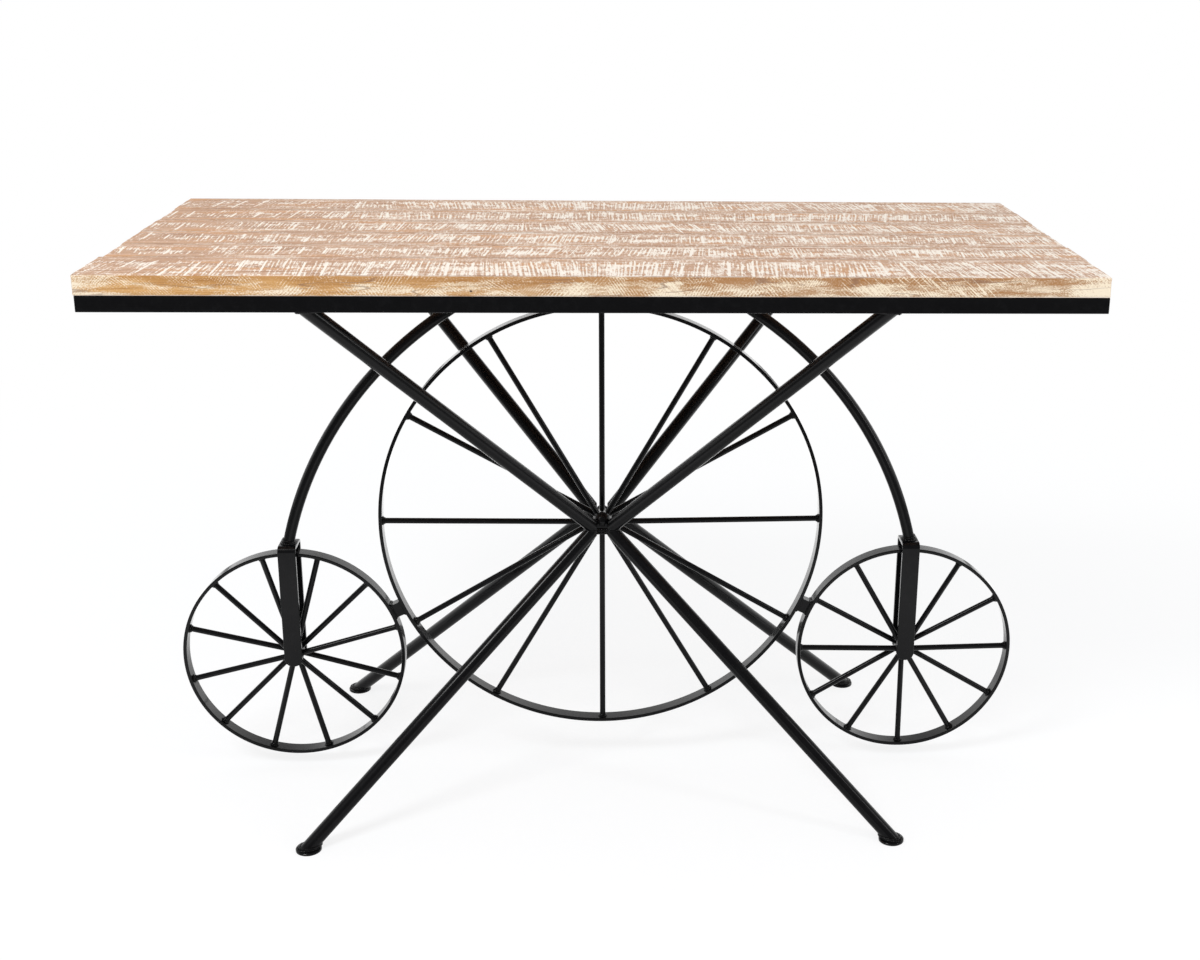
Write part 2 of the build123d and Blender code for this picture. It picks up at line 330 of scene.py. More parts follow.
def face_wash(along, across, half_width, seed, marks):
    """How much wash stayed, 0 to 1: least at the left end, and more up to the middle of the table."""
    inside = marks["inside"]
    broken = cloud(along / 2.6, across / 8, seed + 7, detail=2, roughness=0.7)
    broken = 0.3 + 0.7 * ramp(broken, 0.36, 0.62)
    rubbed = 0.3 + 1.2 * cloud(along / 45, across / 25, seed + 9, detail=2)
    fewer = ramp(along, left_end, -60.0) * 0.35 + 0.65
    small = marks["thin"] * 0.8 + marks["comb"] * 0.8 + marks["crumbs"] * 0.75
    filled = inside * (marks["bold"] * 1.3 + small * broken * fewer) * rubbed
    filled = filled - inside * marks["bare"] * 0.4
    beside = 0.3 + ramp((across / half_width).math("ABSOLUTE"), 0.3, 0.8) * 0.5
    lines = ramp(cloud(along / 170, across / 3.4, seed + 31, detail=2), 0.54, 0.66) * beside
    haze = ramp(cloud(along / 40, across / 22, seed + 53, detail=3, roughness=0.65), 0.42, 0.68)
    haze = haze * (0.3 + inside * 0.3)
    grain = cloud(along / 3.2, across / 16, seed + 43, detail=2, roughness=0.7) - 0.5
    slow = ramp(along, left_end, -120.0) * 0.22 - 0.13
    return ramp(filled + lines * 0.8 + haze + grain * 1.8 + slow, 0.04, 0.8)


# %% [markdown]
# The front of the front board was sawn on another machine. Its marks are fine, slanting and crossed,
# and lie in patches. The wash is pale at both ends and along the bottom, and thin in a ragged band
# under the top.

# %% Marks, depth and wash on a sawn edge
rising_pitch = 3.6
falling_pitch = 4.1


def edge_marks(along, up, seed):
    """Crossed lines and bold marks on the narrow face of a board, each 0 to 1."""
    wander = cloud(along / 130, up / 60, seed + 51) - 0.5
    rising = ramp(wave(along - up * 1.15 + wander * 60, rising_pitch), 0.5, 0.9)
    falling = ramp(wave(along + up * 1.25 - wander * 50, falling_pitch), 0.5, 0.9)
    which = ramp(cloud(along / 95, up / 90, seed + 57, detail=1), 0.42, 0.58)
    patch = ramp(cloud(along / 34, up / 15, seed + 61, detail=2), 0.42, 0.62)
    lines = (rising * which + falling * (1 - which)) * patch
    bold = ramp(cloud((along + up * 1.1) / 2.6, (along - up) / 60, seed + 67, detail=1), 0.56, 0.64)
    bold = bold * ramp(cloud(along / 110, 0.5, seed + 68), 0.52, 0.6)
    return lines, bold


def edge_depth(lines, bold):
    """How deep the saw cut, 0 to 1."""
    return lines * 0.6 + bold * 0.4


def top_band(along, up, seed):
    """1 in the ragged band under the top, 0 below it."""
    ragged = (cloud(along / 60, 0.5, seed + 69, detail=3) - 0.5) * 24
    return ramp(up + ragged, -1.0, 8.0)


def edge_wash(along, up, seed, lines, bold):
    """How much wash stayed, 0 to 1."""
    pale = cloud(along / 60, up / 11, seed + 71, detail=4, roughness=0.62)
    pale = pale + ramp(along, -430.0, -60.0) * 0.06 - top_band(along, up, seed) * 0.12
    ragged = (cloud(along / 30, up / 9, seed + 75, detail=2) - 0.5) * 130
    ends = ramp(along.math("ABSOLUTE") + ragged, 545.0, 600.0)
    crumbs = cloud(along / 2.2, up / 1.6, seed + 73, detail=2, roughness=0.7) - 0.5
    wash = ramp(pale, 0.38, 0.72) * 0.72 + ends * 0.5 + lines * 0.45 + bold * 0.55 + crumbs * 2.0
    return ramp(wash, 0.05, 0.95)


# %% [markdown]
# ## The boards
#
# Each board is its own mesh: a box with many columns along its length, so that grooves only a few
# millimetres apart have points to bend, and few rows across it, because a saw mark hardly changes
# across the board. Rough-sawn boards also have soft, uneven arrises and ends, so the corner of the
# section is rounded and then worn by noise. Everything is cut away from the CAD board, never added.

# %% The section of a board
arris = 1.1 * MM
arris_steps = 3
lower_ease = 0.8 * MM
back_rows = 2
bottom_rows = 3


def evenly(start, end, steps):
    """Numbers from start towards end, in equal steps. The end itself is left out."""
    return [start + (end - start) * i / steps for i in range(steps)]


def board_section(low, high, face_rows, front_rows):
    """Points (y, z) round the section of a board, from the bottom front corner up and over."""
    front, back, bottom, top = low.y, high.y, low.z, high.z
    turn = evenly(0.0, math.pi / 2, arris_steps)
    points = [(front, z) for z in evenly(bottom + lower_ease, top - arris, front_rows)]
    points += [(front + arris * (1 - math.cos(a)), top - arris * (1 - math.sin(a))) for a in turn]
    points += [(y, top) for y in evenly(front + arris, back - arris, face_rows)]
    points += [(back - arris * (1 - math.sin(a)), top - arris * (1 - math.cos(a))) for a in turn]
    points += [(back, z) for z in evenly(top - arris, bottom + lower_ease, back_rows)]
    points.append((back, bottom + lower_ease))
    points += [(y, bottom) for y in evenly(back - lower_ease, front + lower_ease, bottom_rows)]
    points.append((front + lower_ease, bottom))
    return points


# %% The blank of a board
column_pitch = 1.22 * MM
end_ease = 0.3 * arris


@contextmanager
def editing(mesh):
    """A bmesh of this mesh, which is written back when the block ends."""
    edit = bmesh.new()
    edit.from_mesh(mesh)
    yield edit
    edit.to_mesh(mesh)
    edit.free()


def loft(stations, section, centre, half):
    """Points and faces of a closed body: the section at each (x, inset), drawn in by the inset."""
    vertices = []
    for x, inset in stations:
        for y, z in section:
            vertices.append((
                x,
                centre.y + (y - centre.y) * (1 - inset / half.y),
                centre.z + (z - centre.z) * (1 - inset / half.z),
            ))
    around = len(section)
    faces = [tuple(range(around)), tuple(range(len(vertices) - 1, len(vertices) - 1 - around, -1))]
    for column in range(len(stations) - 1):
        first = column * around
        for i in range(around):
            j = (i + 1) % around
            faces.append((first + i, first + around + i, first + around + j, first + j))
    return vertices, faces


def board_blank(name, low, high, face_rows, front_rows):
    columns = round((high.x - low.x - 2 * arris) / column_pitch)
    stations = [(low.x, arris), (low.x + end_ease, end_ease)]
    stations += [(x, 0.0) for x in evenly(low.x + arris, high.x - arris, columns)]
    stations += [(high.x - arris, 0.0), (high.x - end_ease, end_ease), (high.x, arris)]
    section = board_section(low, high, face_rows, front_rows)
    vertices, faces = loft(stations, section, (low + high) / 2, (high - low) / 2)
    mesh = bpy.data.meshes.new(name)
    mesh.from_pydata(vertices, [], faces)
    with editing(mesh) as edit:
        bmesh.ops.recalc_face_normals(edit, faces=edit.faces)
    mesh.polygons.foreach_set("use_smooth", [True] * len(mesh.polygons))
    return add_object(name, mesh)


# %% [markdown]
# A Geometry Nodes tree cuts the marks into a blank. It reads each point's place and the way its
# surface faces: the top gets the marks of a face, and the front of a board gets those of an edge. The
# same tree wears the arrises and the ends.

# %% Begin and end a Geometry Nodes tree
def geometry_tree(name, labels):
    """A new tree, the geometry that it is given, and its named number inputs as Fields."""
    tree = bpy.data.node_groups.new(name, "GeometryNodeTree")
    tree.interface.new_socket("Geometry", in_out="INPUT", socket_type="NodeSocketGeometry")
    for label in labels:
        tree.interface.new_socket(label, in_out="INPUT", socket_type="NodeSocketFloat")
    tree.interface.new_socket("Geometry", in_out="OUTPUT", socket_type="NodeSocketGeometry")
    given = add_node(tree, "NodeGroupInput")
    return tree, given.outputs["Geometry"], {label: Field(given.outputs[label]) for label in labels}


def place_in_mm(tree):
    """Where each point is, as three Fields in millimetres."""
    return split_vector(add_node(tree, "GeometryNodeInputPosition").outputs[0], 1 / MM)


def finish_tree(tree, geometry, material):
    """Every tree ends the same way: smooth shading, real mesh, one material."""
    smooth = add_node(tree, "GeometryNodeSetShadeSmooth", {"Geometry": geometry})
    real = add_node(tree, "GeometryNodeRealizeInstances", {"Geometry": smooth})
    painted = add_node(tree, "GeometryNodeSetMaterial", {"Geometry": real, "Material": material})
    add_node(tree, "NodeGroupOutput", {0: painted})
    print(f"tree {tree.name}: {len(tree.nodes)} nodes")
    return tree


# %% The tree that saws a blank
dip_depth = 0.45
arris_wear = 0.9
end_wear = 2.2
end_wear_length = 14.0


def saw_tree(name, seed, front_reach, material):
    labels = ["Middle Across", "Half Width", "Middle Up", "Half Length", "Top Depth", "Front Depth"]
    tree, blank, size = geometry_tree(name, labels)
    x, y, z = place_in_mm(tree)
    _, facing_y, facing_z = split_vector(add_node(tree, "GeometryNodeInputNormal").outputs[0])
    across = y - size["Middle Across"]
    up = z - size["Middle Up"]
    on_top = ramp(facing_z, 0.5, 0.98)
    in_front = ramp(0 - facing_y, 0.5, 0.98)

    face_cut = face_depth(face_marks(x, across, size["Half Width"], seed, front_reach))
    edge_cut = edge_depth(*edge_marks(x, up, seed))
    dip = cloud(x / 130, across / 30, seed + 3, detail=1)
    on_arris = ramp(facing_z, 0.1, 0.4) * (1 - ramp(facing_z, 0.8, 0.98))
    worn = on_arris * cloud(x / 11, across / 7, seed + 5, detail=2) * arris_wear
    near_end = 1 - ramp(size["Half Length"] - x.math("ABSOLUTE"), 0.0, end_wear_length)
    end_worn = cloud(across / 14, up / 9, seed + 9, detail=2) * near_end

    shorter = end_worn * x.math("SIGN") * (-end_wear * MM)
    inward = (in_front * edge_cut * size["Front Depth"] + worn) * across.math("SIGN") * -MM
    lower = (on_top * (face_cut * size["Top Depth"] + dip * dip_depth) + worn) * -MM
    offset = vector(tree, shorter, inward, lower)
    moved = add_node(tree, "GeometryNodeSetPosition", {"Geometry": blank, "Offset": offset})
    return finish_tree(tree, moved, material)


# %% Turn a tree's result into a plain mesh
def bake_tree(carrier, tree, **sizes):
    """Run the tree on carrier with these inputs and keep the result as carrier's own mesh."""
    modifier = carrier.modifiers.new(tree.name, "NODES")
    modifier.node_group = tree
    wanted = {label.replace("_", " "): value for label, value in sizes.items()}
    for item in tree.interface.items_tree:
        if item.in_out == "INPUT" and item.name in wanted:
            modifier[item.identifier] = wanted[item.name]
    graph = bpy.context.evaluated_depsgraph_get()
    mesh = bpy.data.meshes.new_from_object(
        carrier.evaluated_get(graph), preserve_all_data_layers=True, depsgraph=graph
    )
    carrier.modifiers.clear()
    carrier.data = mesh
    mesh.name = carrier.name
    return carrier


# %% [markdown]
# The same formulas paint the boards. Brown wood shows where the wash was rubbed off: pinkish on the
# faces, with orange patches and long grain, and golden on the edges. The narrow front face is darkest
# in a band under the top, and pale along its lower arris, where the wash gathered, and has one knot.

# %% Colours of the wood
pink_brown = srgb(212, 172, 142)
deep_brown = srgb(176, 132, 101)
orange_brown = srgb(214, 160, 114)
# The brown of painted shade in the saw grooves and beside the joints between boards, and of the checks.
shade_and_check_brown = srgb(140, 108, 88)
bright_wash = srgb(255, 250, 241)
thin_wash = srgb(250, 236, 222)
gold = srgb(212, 163, 102)
tan_brown = srgb(184, 143, 106)
deep_gold = srgb(165, 111, 54)
edge_wash_colour = srgb(246, 231, 206)
end_grain_pale = srgb(196, 158, 118)
end_grain_dark = srgb(162, 122, 84)
knot_brown = srgb(70, 48, 34)
knot_place = (-152.0, -6.0)
knot_radius = 1.7
knot_flatness = 1.6
knot_raggedness = 1.2
knot_border = 1.2
print(f"the knot is {knot_radius * 2:.1f} mm across, {-knot_place[0]:.0f} mm left of the middle")


# %% Colour of a face and of an end
def face_colour(x, across, half_width, wash, depth, seed):
    long_grain = cloud(x / 120, across / 8, seed + 81, detail=4, roughness=0.65)
    fine_grain = cloud(x / 9, across / 4, seed + 83, detail=2, roughness=0.7)
    warm = ramp(cloud(x / 190, across / 26, seed + 85, detail=1), 0.52, 0.64)
    brown = mix_colours(ramp(long_grain, 0.38, 0.68), pink_brown, deep_brown)
    brown = mix_colours(warm * 0.75, brown, orange_brown)
    brown = mix_colours(ramp(fine_grain, 0.45, 0.7) * 0.45, brown, deep_brown)
    # Painted shade: the brown darkens towards the shade brown where the saw cut deeper.
    brown = mix_colours(depth * 0.3, brown, shade_and_check_brown)
    white = mix_colours(cloud(x / 14, across / 8, seed + 87, detail=1), bright_wash, thin_wash)
    colour = mix_colours(wash, brown, white)
    # Painted shade: a dark band along each long edge of the board, where it meets its neighbour, broken
    # into patches along the grain.
    seam_shade = 1 - ramp(half_width - across.math("ABSOLUTE"), 0.8, 4.5)
    seam_shade = seam_shade * ramp(cloud(x / 90, 0.5, seed + 89, detail=3), 0.4, 0.6)
    return mix_colours(seam_shade * 0.7, colour, shade_and_check_brown)


def end_colour(across, up, seed):
    rings = cloud(across / 9, up / 3.2, seed + 95, detail=2)
    colour = mix_colours(ramp(rings, 0.4, 0.65), end_grain_pale, end_grain_dark)
    wash = ramp(cloud(across / 12, up / 7, seed + 97, detail=3), 0.42, 0.65) * 0.75
    return mix_colours(wash, colour, thin_wash)


# %% Colour of an edge
def add_knot(colour, x, up, seed):
    """The colour with the knot painted on: a flat oval with a ragged border."""
    aside = x - knot_place[0]
    above = (up - knot_place[1]) * knot_flatness
    ragged = cloud(x / 1.5, up / 1.5, seed) * knot_raggedness
    from_knot = (aside * aside + above * above).math("SQRT") + ragged
    outside = ramp(from_knot, knot_radius, knot_radius + knot_border)
    return mix_colours(1 - outside, colour, knot_brown)


def edge_colour(x, up, wash, seed):
    grain = cloud(x / 70, up / 2.6, seed + 91, detail=5, roughness=0.7)
    wood = mix_colours(ramp(x, -500.0, 300.0), gold, tan_brown)
    wood = mix_colours(ramp(grain, 0.42, 0.7) * 0.8, wood, deep_gold)
    wood = mix_colours(top_band(x, up, seed) * 0.45, wood, deep_gold)
    colour = mix_colours(wash, wood, edge_wash_colour)
    rings = cloud(x / 150, up / 14, seed + 93, detail=1)
    check = 1 - ramp((rings - 0.5).math("ABSOLUTE"), 0.004, 0.022)
    check = check * ramp(cloud(x / 60, up / 30, seed + 94), 0.46, 0.56)
    colour = mix_colours(check * 0.6, colour, shade_and_check_brown)
    colour = add_knot(colour, x, up, seed)
    lower = 1 - ramp(up + cloud(x / 20, 0.5, seed + 99) * 1.2, -11.6, -10.6)
    upper = ramp(up, 11.0, 12.0) * ramp(cloud(x / 8, 0.5, seed + 100, detail=2), 0.3, 0.6)
    return mix_colours(lower.math("MAXIMUM", upper) * 0.8, colour, bright_wash)


# %% Paint a board
wood_relief = 0.4 * MM


def board_material(number, low, high, seed, front_reach):
    material, shader, (x, y, z) = new_material(f"whitewashed_board_{number}")
    normal = add_node(material.node_tree, "ShaderNodeTexCoord").outputs["Normal"]
    facing_x, facing_y, facing_z = split_vector(normal)
    middle = (low + high) / 2 / MM
    half_width = (high.y - low.y) / 2 / MM
    across = y - middle.y
    up = z - middle.z

    marks = face_marks(x, across, half_width, seed, front_reach)
    depth = face_depth(marks)
    wash = face_wash(x, across, half_width, seed, marks)
    lines, bold = edge_marks(x, up, seed)
    edge = edge_colour(x, up, edge_wash(x, up, seed, lines, bold), seed)
    colour = face_colour(x, across, half_width, wash * ramp(facing_z, -0.6, 0.2), depth, seed)
    colour = mix_colours(ramp(facing_y.math("ABSOLUTE"), 0.55, 0.8), colour, edge)
    colour = mix_colours(ramp(facing_x.math("ABSOLUTE"), 0.6, 0.8), colour, end_colour(across, up, seed))
    feed_all(shader, {"Base Color": colour, "Roughness": 0.62 + wash * 0.2, "Specular IOR Level": 0.3})
    pores = cloud(x / 9, across / 0.6 + up / 0.6, seed + 83, detail=1)
    add_bump(shader, depth * -0.6 + pores * 0.25 + wash * 0.3, wood_relief)
    return material


# %% Saw, paint and place the six boards
# How far the marks of each board reach to its front, as a share of half its width.
front_reaches = [1.7, 0.6, 0.55, 0.6, 0.62, 0.75]
face_rows = 30
shown_front_rows = 10
joint_rows = 2

for number, front_reach in enumerate(front_reaches, start=1):
    node = f"top_board_{number}"
    low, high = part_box(node)
    seed = number * 100.0
    front_rows = shown_front_rows if number == 1 else joint_rows
    blank = board_blank(f"sawn_board_{number}", low, high, face_rows, front_rows)
    material = board_material(number, low, high, seed, front_reach)
    middle = (low + high) / 2 / MM
    board = bake_tree(
        blank,
        saw_tree(f"saw_board_{number}", seed, front_reach, material),
        Middle_Across=middle.y,
        Half_Width=(high.y - low.y) / 2 / MM,
        Middle_Up=middle.z,
        Half_Length=(high.x - low.x) / 2 / MM,
        Top_Depth=0.5,
        Front_Depth=0.35,
    )
    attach(board, "root")
    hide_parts(node)
    print(f"{board.name}: {len(board.data.polygons)} faces")

# %% [markdown]
# ## Rims rolled from flat bar
#
# Each rim is a strip of flat bar, rolled to a hoop. Its edges are soft, because flat bar comes from
# the mill with rounded corners, and that thin rounded edge is what catches the light on a black
# wheel. A hoop follows a rule, so a Geometry Nodes tree makes it: a small rounded rectangle carried
# round a circle.

# %% The tree that rolls a hoop
hoop_segments = 192
mill_corner_steps = 3


def hoop_tree(material):
    labels = ["Outer Radius", "Thickness", "Width", "Mill Corner", "Centre X", "Centre Z"]
    tree, _, size = geometry_tree("rolled_hoop", labels)
    circle = add_node(tree, "GeometryNodeCurvePrimitiveCircle", {
        "Resolution": hoop_segments,
        "Radius": size["Outer Radius"] - size["Thickness"] * 0.5,
    })
    upright = add_node(tree, "GeometryNodeSetCurveNormal", {"Curve": circle}, mode="Z_UP")
    bar = add_node(tree, "GeometryNodeCurvePrimitiveQuadrilateral", {
        "Width": size["Thickness"],
        "Height": size["Width"],
    })
    corners = {"Curve": bar, "Count": mill_corner_steps, "Radius": size["Mill Corner"]}
    soft = add_node(tree, "GeometryNodeFilletCurve", corners, mode="POLY")
    rolled = add_node(tree, "GeometryNodeCurveToMesh", {"Curve": upright, "Profile Curve": soft})
    stood_up = add_node(tree, "GeometryNodeTransform", {
        "Geometry": rolled,
        "Translation": vector(tree, x=size["Centre X"], z=size["Centre Z"]),
        "Rotation": (math.pi / 2, 0, 0),
    })
    return finish_tree(tree, stood_up, material)


# %% Roll the three rims
rim_thickness = 5 * MM
mill_corner = 0.9 * MM
wheels = ("big", "left", "right")


def empty_carrier(name):
    """An object with no mesh yet, for a tree that makes everything itself."""
    return add_object(name, bpy.data.meshes.new(name))


def even_out_shading(piece):
    """Flat faces shade flat and narrow eased edges carry the turn of the light."""
    modifier = piece.modifiers.new("even_shading", "WEIGHTED_NORMAL")
    modifier.keep_sharp = True
    return piece


def middle_of(node):
    """The middle of a CAD node's box."""
    low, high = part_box(node)
    return (low + high) / 2


def rim_radius(wheel):
    """The outer radius of a wheel's rim."""
    low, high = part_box(f"{wheel}_wheel_rim")
    return (high.x - low.x) / 2


def hub_radius(wheel):
    """The radius of a wheel's hub, where it is thickest."""
    low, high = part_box(f"{wheel}_wheel_hub")
    return (high.z - low.z) / 2


def dress_steel(piece, *nodes):
    """A steel piece rides on the table and stands for these CAD nodes."""
    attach(piece, "root")
    if nodes:
        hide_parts(*nodes)
    print(f"{piece.name}: {len(piece.data.polygons)} faces")


roll_hoop = hoop_tree(black_paint)
for wheel in wheels:
    node = f"{wheel}_wheel_rim"
    low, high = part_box(node)
    hoop = bake_tree(
        empty_carrier(f"{wheel}_wheel_hoop"),
        roll_hoop,
        Outer_Radius=rim_radius(wheel),
        Thickness=rim_thickness,
        Width=high.y - low.y,
        Mill_Corner=mill_corner,
        Centre_X=middle_of(node).x,
        Centre_Z=middle_of(node).z,
    )
    dress_steel(even_out_shading(hoop), node)

# %% [markdown]
# ## Weld beads
#
# Everything on the base is welded, and the beads are thick and easy to see: rings round each spoke
# where it meets the rim, seams round the elbows, collars on the feet. A bead is a row of small
# overlapping puddles along a line. So each weld is drawn as its centre line only, and one Geometry
# Nodes tree turns all lines into beads: it divides them evenly, sweeps a circle along them whose
# radius shrinks and swells with the puddles, and roughens the skin with noise.

# %% The tree that lays a bead
bead_sides = 8
steps_per_puddle = 4


def weld_tree(material):
    tree, lines, size = geometry_tree("weld_bead", ["Puddle Pitch", "Puddle Swell", "Roughness", "Seed"])
    curves = add_node(tree, "GeometryNodeMeshToCurve", {"Mesh": lines})
    stepping = {"Curve": curves, "Length": size["Puddle Pitch"] / steps_per_puddle}
    steps = add_node(tree, "GeometryNodeResampleCurve", stepping, mode="LENGTH")

    bead = Field(add_node(tree, "GeometryNodeInputNamedAttribute", {"Name": "bead"}).outputs[0])
    run = Field(add_node(tree, "GeometryNodeSplineParameter").outputs["Length"])
    puddle = (run * math.pi / size["Puddle Pitch"]).math("SINE").math("ABSOLUTE")
    x, y, z = place_in_mm(tree)
    uneven = cloud(x / 6 + y / 6, z / 6, size["Seed"], detail=1) - 0.5
    circle = add_node(tree, "GeometryNodeCurvePrimitiveCircle", {"Resolution": bead_sides, "Radius": 1.0})
    swept = add_node(tree, "GeometryNodeCurveToMesh", {
        "Curve": steps,
        "Profile Curve": circle,
        "Scale": bead * (1 - size["Puddle Swell"] * puddle + uneven * 0.45),
        "Fill Caps": True,
    })

    rough = cloud(x / 2.3 + z / 2.3, y / 2.3 - z / 2.3, size["Seed"] + 5, detail=1) - 0.5
    pushing = {0: add_node(tree, "GeometryNodeInputNormal"), "Scale": rough * size["Roughness"]}
    push = add_node(tree, "ShaderNodeVectorMath", pushing, operation="SCALE")
    skin = add_node(tree, "GeometryNodeSetPosition", {"Geometry": swept, "Offset": push})
    return finish_tree(tree, skin, material)


# %% Lines for the beads to follow
ring_steps = 36
lay_weld = weld_tree(black_paint)


def tube_on_plane(point, axis, normal, radius):
    """The closed line where a tube along axis, through point, meets the plane with this normal."""
    axis, normal = Vector(axis).normalized(), Vector(normal).normalized()
    short = axis.cross(normal)
    short = normal.orthogonal().normalized() if short.length < 1e-4 else short.normalized()
    long = normal.cross(short) / abs(axis.dot(normal))
    angles = [2 * math.pi * i / ring_steps for i in range(ring_steps)]
    return [point + radius * (math.cos(angle) * short + math.sin(angle) * long) for angle in angles]


def ring_weld(point, axis, normal, radius, bead):
    """A closed bead round a tube. A bead is (points, its own radius, whether it is closed)."""
    return (tube_on_plane(point, axis, normal, radius), bead, True)


def lay_welds(name, lines):
    """One piece with all of these beads."""
    vertices, edges, beads = [], [], []
    for points, bead, closed in lines:
        first = len(vertices)
        vertices += points
        beads += [bead] * len(points)
        edges += [(first + i, first + i + 1) for i in range(len(points) - 1)]
        if closed:
            edges.append((len(vertices) - 1, first))
    carrier = empty_carrier(name)
    carrier.data.from_pydata(vertices, edges, [])
    carrier.data.attributes.new("bead", "FLOAT", "POINT").data.foreach_set("value", beads)
    dress_steel(bake_tree(
        carrier,
        lay_weld,
        Puddle_Pitch=2.4 * MM,
        Puddle_Swell=0.16,
        Roughness=0.5 * MM,
        Seed=3.0,
    ))


# %% [markdown]
# The spokes of a wheel meet its hub in two rows, front and rear, and lean to the middle of the rim.
# At the rim each has two passes of weld, a wide one on the rim and a narrow one above it, which
# together look like a small cone. Round a small hub each has one thin bead. At the big hub all the
# welds run together and are built up to a ball, which is made further down.

# %% Weld the wheels
spoke_count = 12
spoke_radius = 4 * MM
spoke_phase = {"big": 0, "left": 15, "right": 0}
spoke_stagger = {"big": 8 * MM, "left": 6 * MM, "right": 6 * MM}
hub_bead = 1.5 * MM
# A pass: how far above the rim, how far off the spoke, and the radius of the bead.
rim_passes = [(0.4 * MM, 0.5 * MM, 2.0 * MM), (2.8 * MM, -0.1 * MM, 1.3 * MM)]


def weld_wheel(wheel):
    centre = middle_of(f"{wheel}_wheel_rim")
    rim_inner = rim_radius(wheel) - rim_thickness
    lines = []
    for k in range(spoke_count):
        angle = math.radians(spoke_phase[wheel] + 360 / spoke_count * k)
        outward = Vector((math.cos(angle), 0, math.sin(angle)))
        row = Vector((0, spoke_stagger[wheel] if k % 2 else -spoke_stagger[wheel], 0))
        hub_end = centre + outward * hub_radius(wheel) + row
        rim_end = centre + outward * rim_inner
        along = (rim_end - hub_end).normalized()
        for above, off, bead in rim_passes:
            lines.append(ring_weld(rim_end - along * above, along, along, spoke_radius + off, bead))
        if wheel != "big":
            lines.append(ring_weld(hub_end, along, along, spoke_radius, hub_bead))
    lay_welds(f"{wheel}_wheel_welds", lines)


for wheel in wheels:
    weld_wheel(wheel)

# %% [markdown]
# A strut and a leg meet in a mitred elbow on each corner of the big hub. The seam runs round the
# elbow, except on its inner side, where both tubes are cut off square to face their twins. A strut's
# top has a collar under the rail, and a leg's foot has one on its plate and a second just above.

# %% Seams of the elbows, and collars on the struts and legs
tube_radius = 9.5 * MM
elbow_half_gap = 7.5 * MM
elbow_apex = Vector((10.3 * MM, 34 * MM, 0))
elbow_bead = 1.2 * MM
strut_bead = 2.4 * MM
# A pass: how far up the leg, how far off it, and the radius of the bead.
foot_passes = [(0.0, 0.3 * MM, 2.6 * MM), (3.4 * MM, 0.0, 2.2 * MM)]
level_tolerance = 0.05 * MM
straight_up = Vector((0, 0, 1))
table_corners = {
    "front_left": (-1, -1),
    "front_right": (1, -1),
    "rear_left": (-1, 1),
    "rear_right": (1, 1),
}


def cut_middle(node, height):
    """Middle of the outline where a tube of the frame is cut level at this height."""
    points = [vertex.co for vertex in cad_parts[node].data.vertices]
    cut = [co for co in points if abs(co.z - height) < level_tolerance]
    xs, ys = [co.x for co in cut], [co.y for co in cut]
    return Vector(((min(xs) + max(xs)) / 2, (min(ys) + max(ys)) / 2, height))


def beside_the_gap(points):
    """The part of a closed line that stays outside the gap between the elbows, as an open line."""
    outside = [abs(point.x) > elbow_half_gap for point in points]
    start = next(i for i in range(len(points)) if outside[i] and not outside[i - 1])
    turned = points[start:] + points[:start]
    kept = outside[start:] + outside[:start]
    return turned[: kept.index(False)]


hub_middle = middle_of("big_wheel_hub")
rail_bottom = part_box("front_rail")[0].z
foot_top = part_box("front_left_foot")[1].z
collar_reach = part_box("rear_rail")[1].y - strut_bead
elbow_lines, foot_lines, strut_lines = [], [], []

for corner, (side, depth) in table_corners.items():
    apex = hub_middle + Vector((side * elbow_apex.x, depth * elbow_apex.y, 0))
    strut_top = cut_middle(f"{corner}_strut", rail_bottom)
    leg_foot = cut_middle(f"{corner}_leg", foot_top)
    upward, downward = (strut_top - apex).normalized(), (leg_foot - apex).normalized()
    seam = tube_on_plane(apex, upward, upward - downward, tube_radius)
    elbow_lines.append((beside_the_gap(seam), elbow_bead, False))
    collar = tube_on_plane(strut_top, upward, straight_up, tube_radius)
    for point in collar:
        point.y = max(-collar_reach, min(collar_reach, point.y))
    strut_lines.append((collar, strut_bead, True))
    for above, off, bead in foot_passes:
        middle = leg_foot - downward * above
        foot_lines.append(ring_weld(middle, downward, straight_up, tube_radius + off, bead))

# %% [markdown]
# The bar of the big hub ends between the cut faces of the elbows. Four short beads along it hold each
# pair of elbows, and two more run from elbow to elbow over its end.

# %% Weld the bar between the elbows
bar_radius = 9 * MM
bar_bead = 1.7 * MM
end_bead = 3 * MM
end_bead_heights = (-2.5 * MM, -6.5 * MM)
short_of_end = 1 * MM

bar_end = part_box("big_wheel_hub")[1].y
rise = math.sqrt(bar_radius**2 - elbow_half_gap**2)
for depth in (-1, 1):
    near, far = elbow_apex.y - tube_radius, bar_end - short_of_end
    for x in (-elbow_half_gap, elbow_half_gap):
        for z in (-rise, rise):
            run = [hub_middle + Vector((x, depth * y, z)) for y in (near, far)]
            elbow_lines.append((run, bar_bead, False))
    for z in end_bead_heights:
        run = [hub_middle + Vector((x, depth * bar_end, z)) for x in (-elbow_half_gap, elbow_half_gap)]
        elbow_lines.append((run, end_bead, False))

lay_welds("elbow_welds", elbow_lines)
lay_welds("strut_top_welds", strut_lines)
lay_welds("foot_welds", foot_lines)

# %% [markdown]
# Some weld is built up to a rounded lump. One buries the middle of each hub and the feet of its
# spokes. One more fills the notch above the front end of the big hub's bar, between the struts. A
# lump is a ball that a small tree stretches from front to rear and roughens.

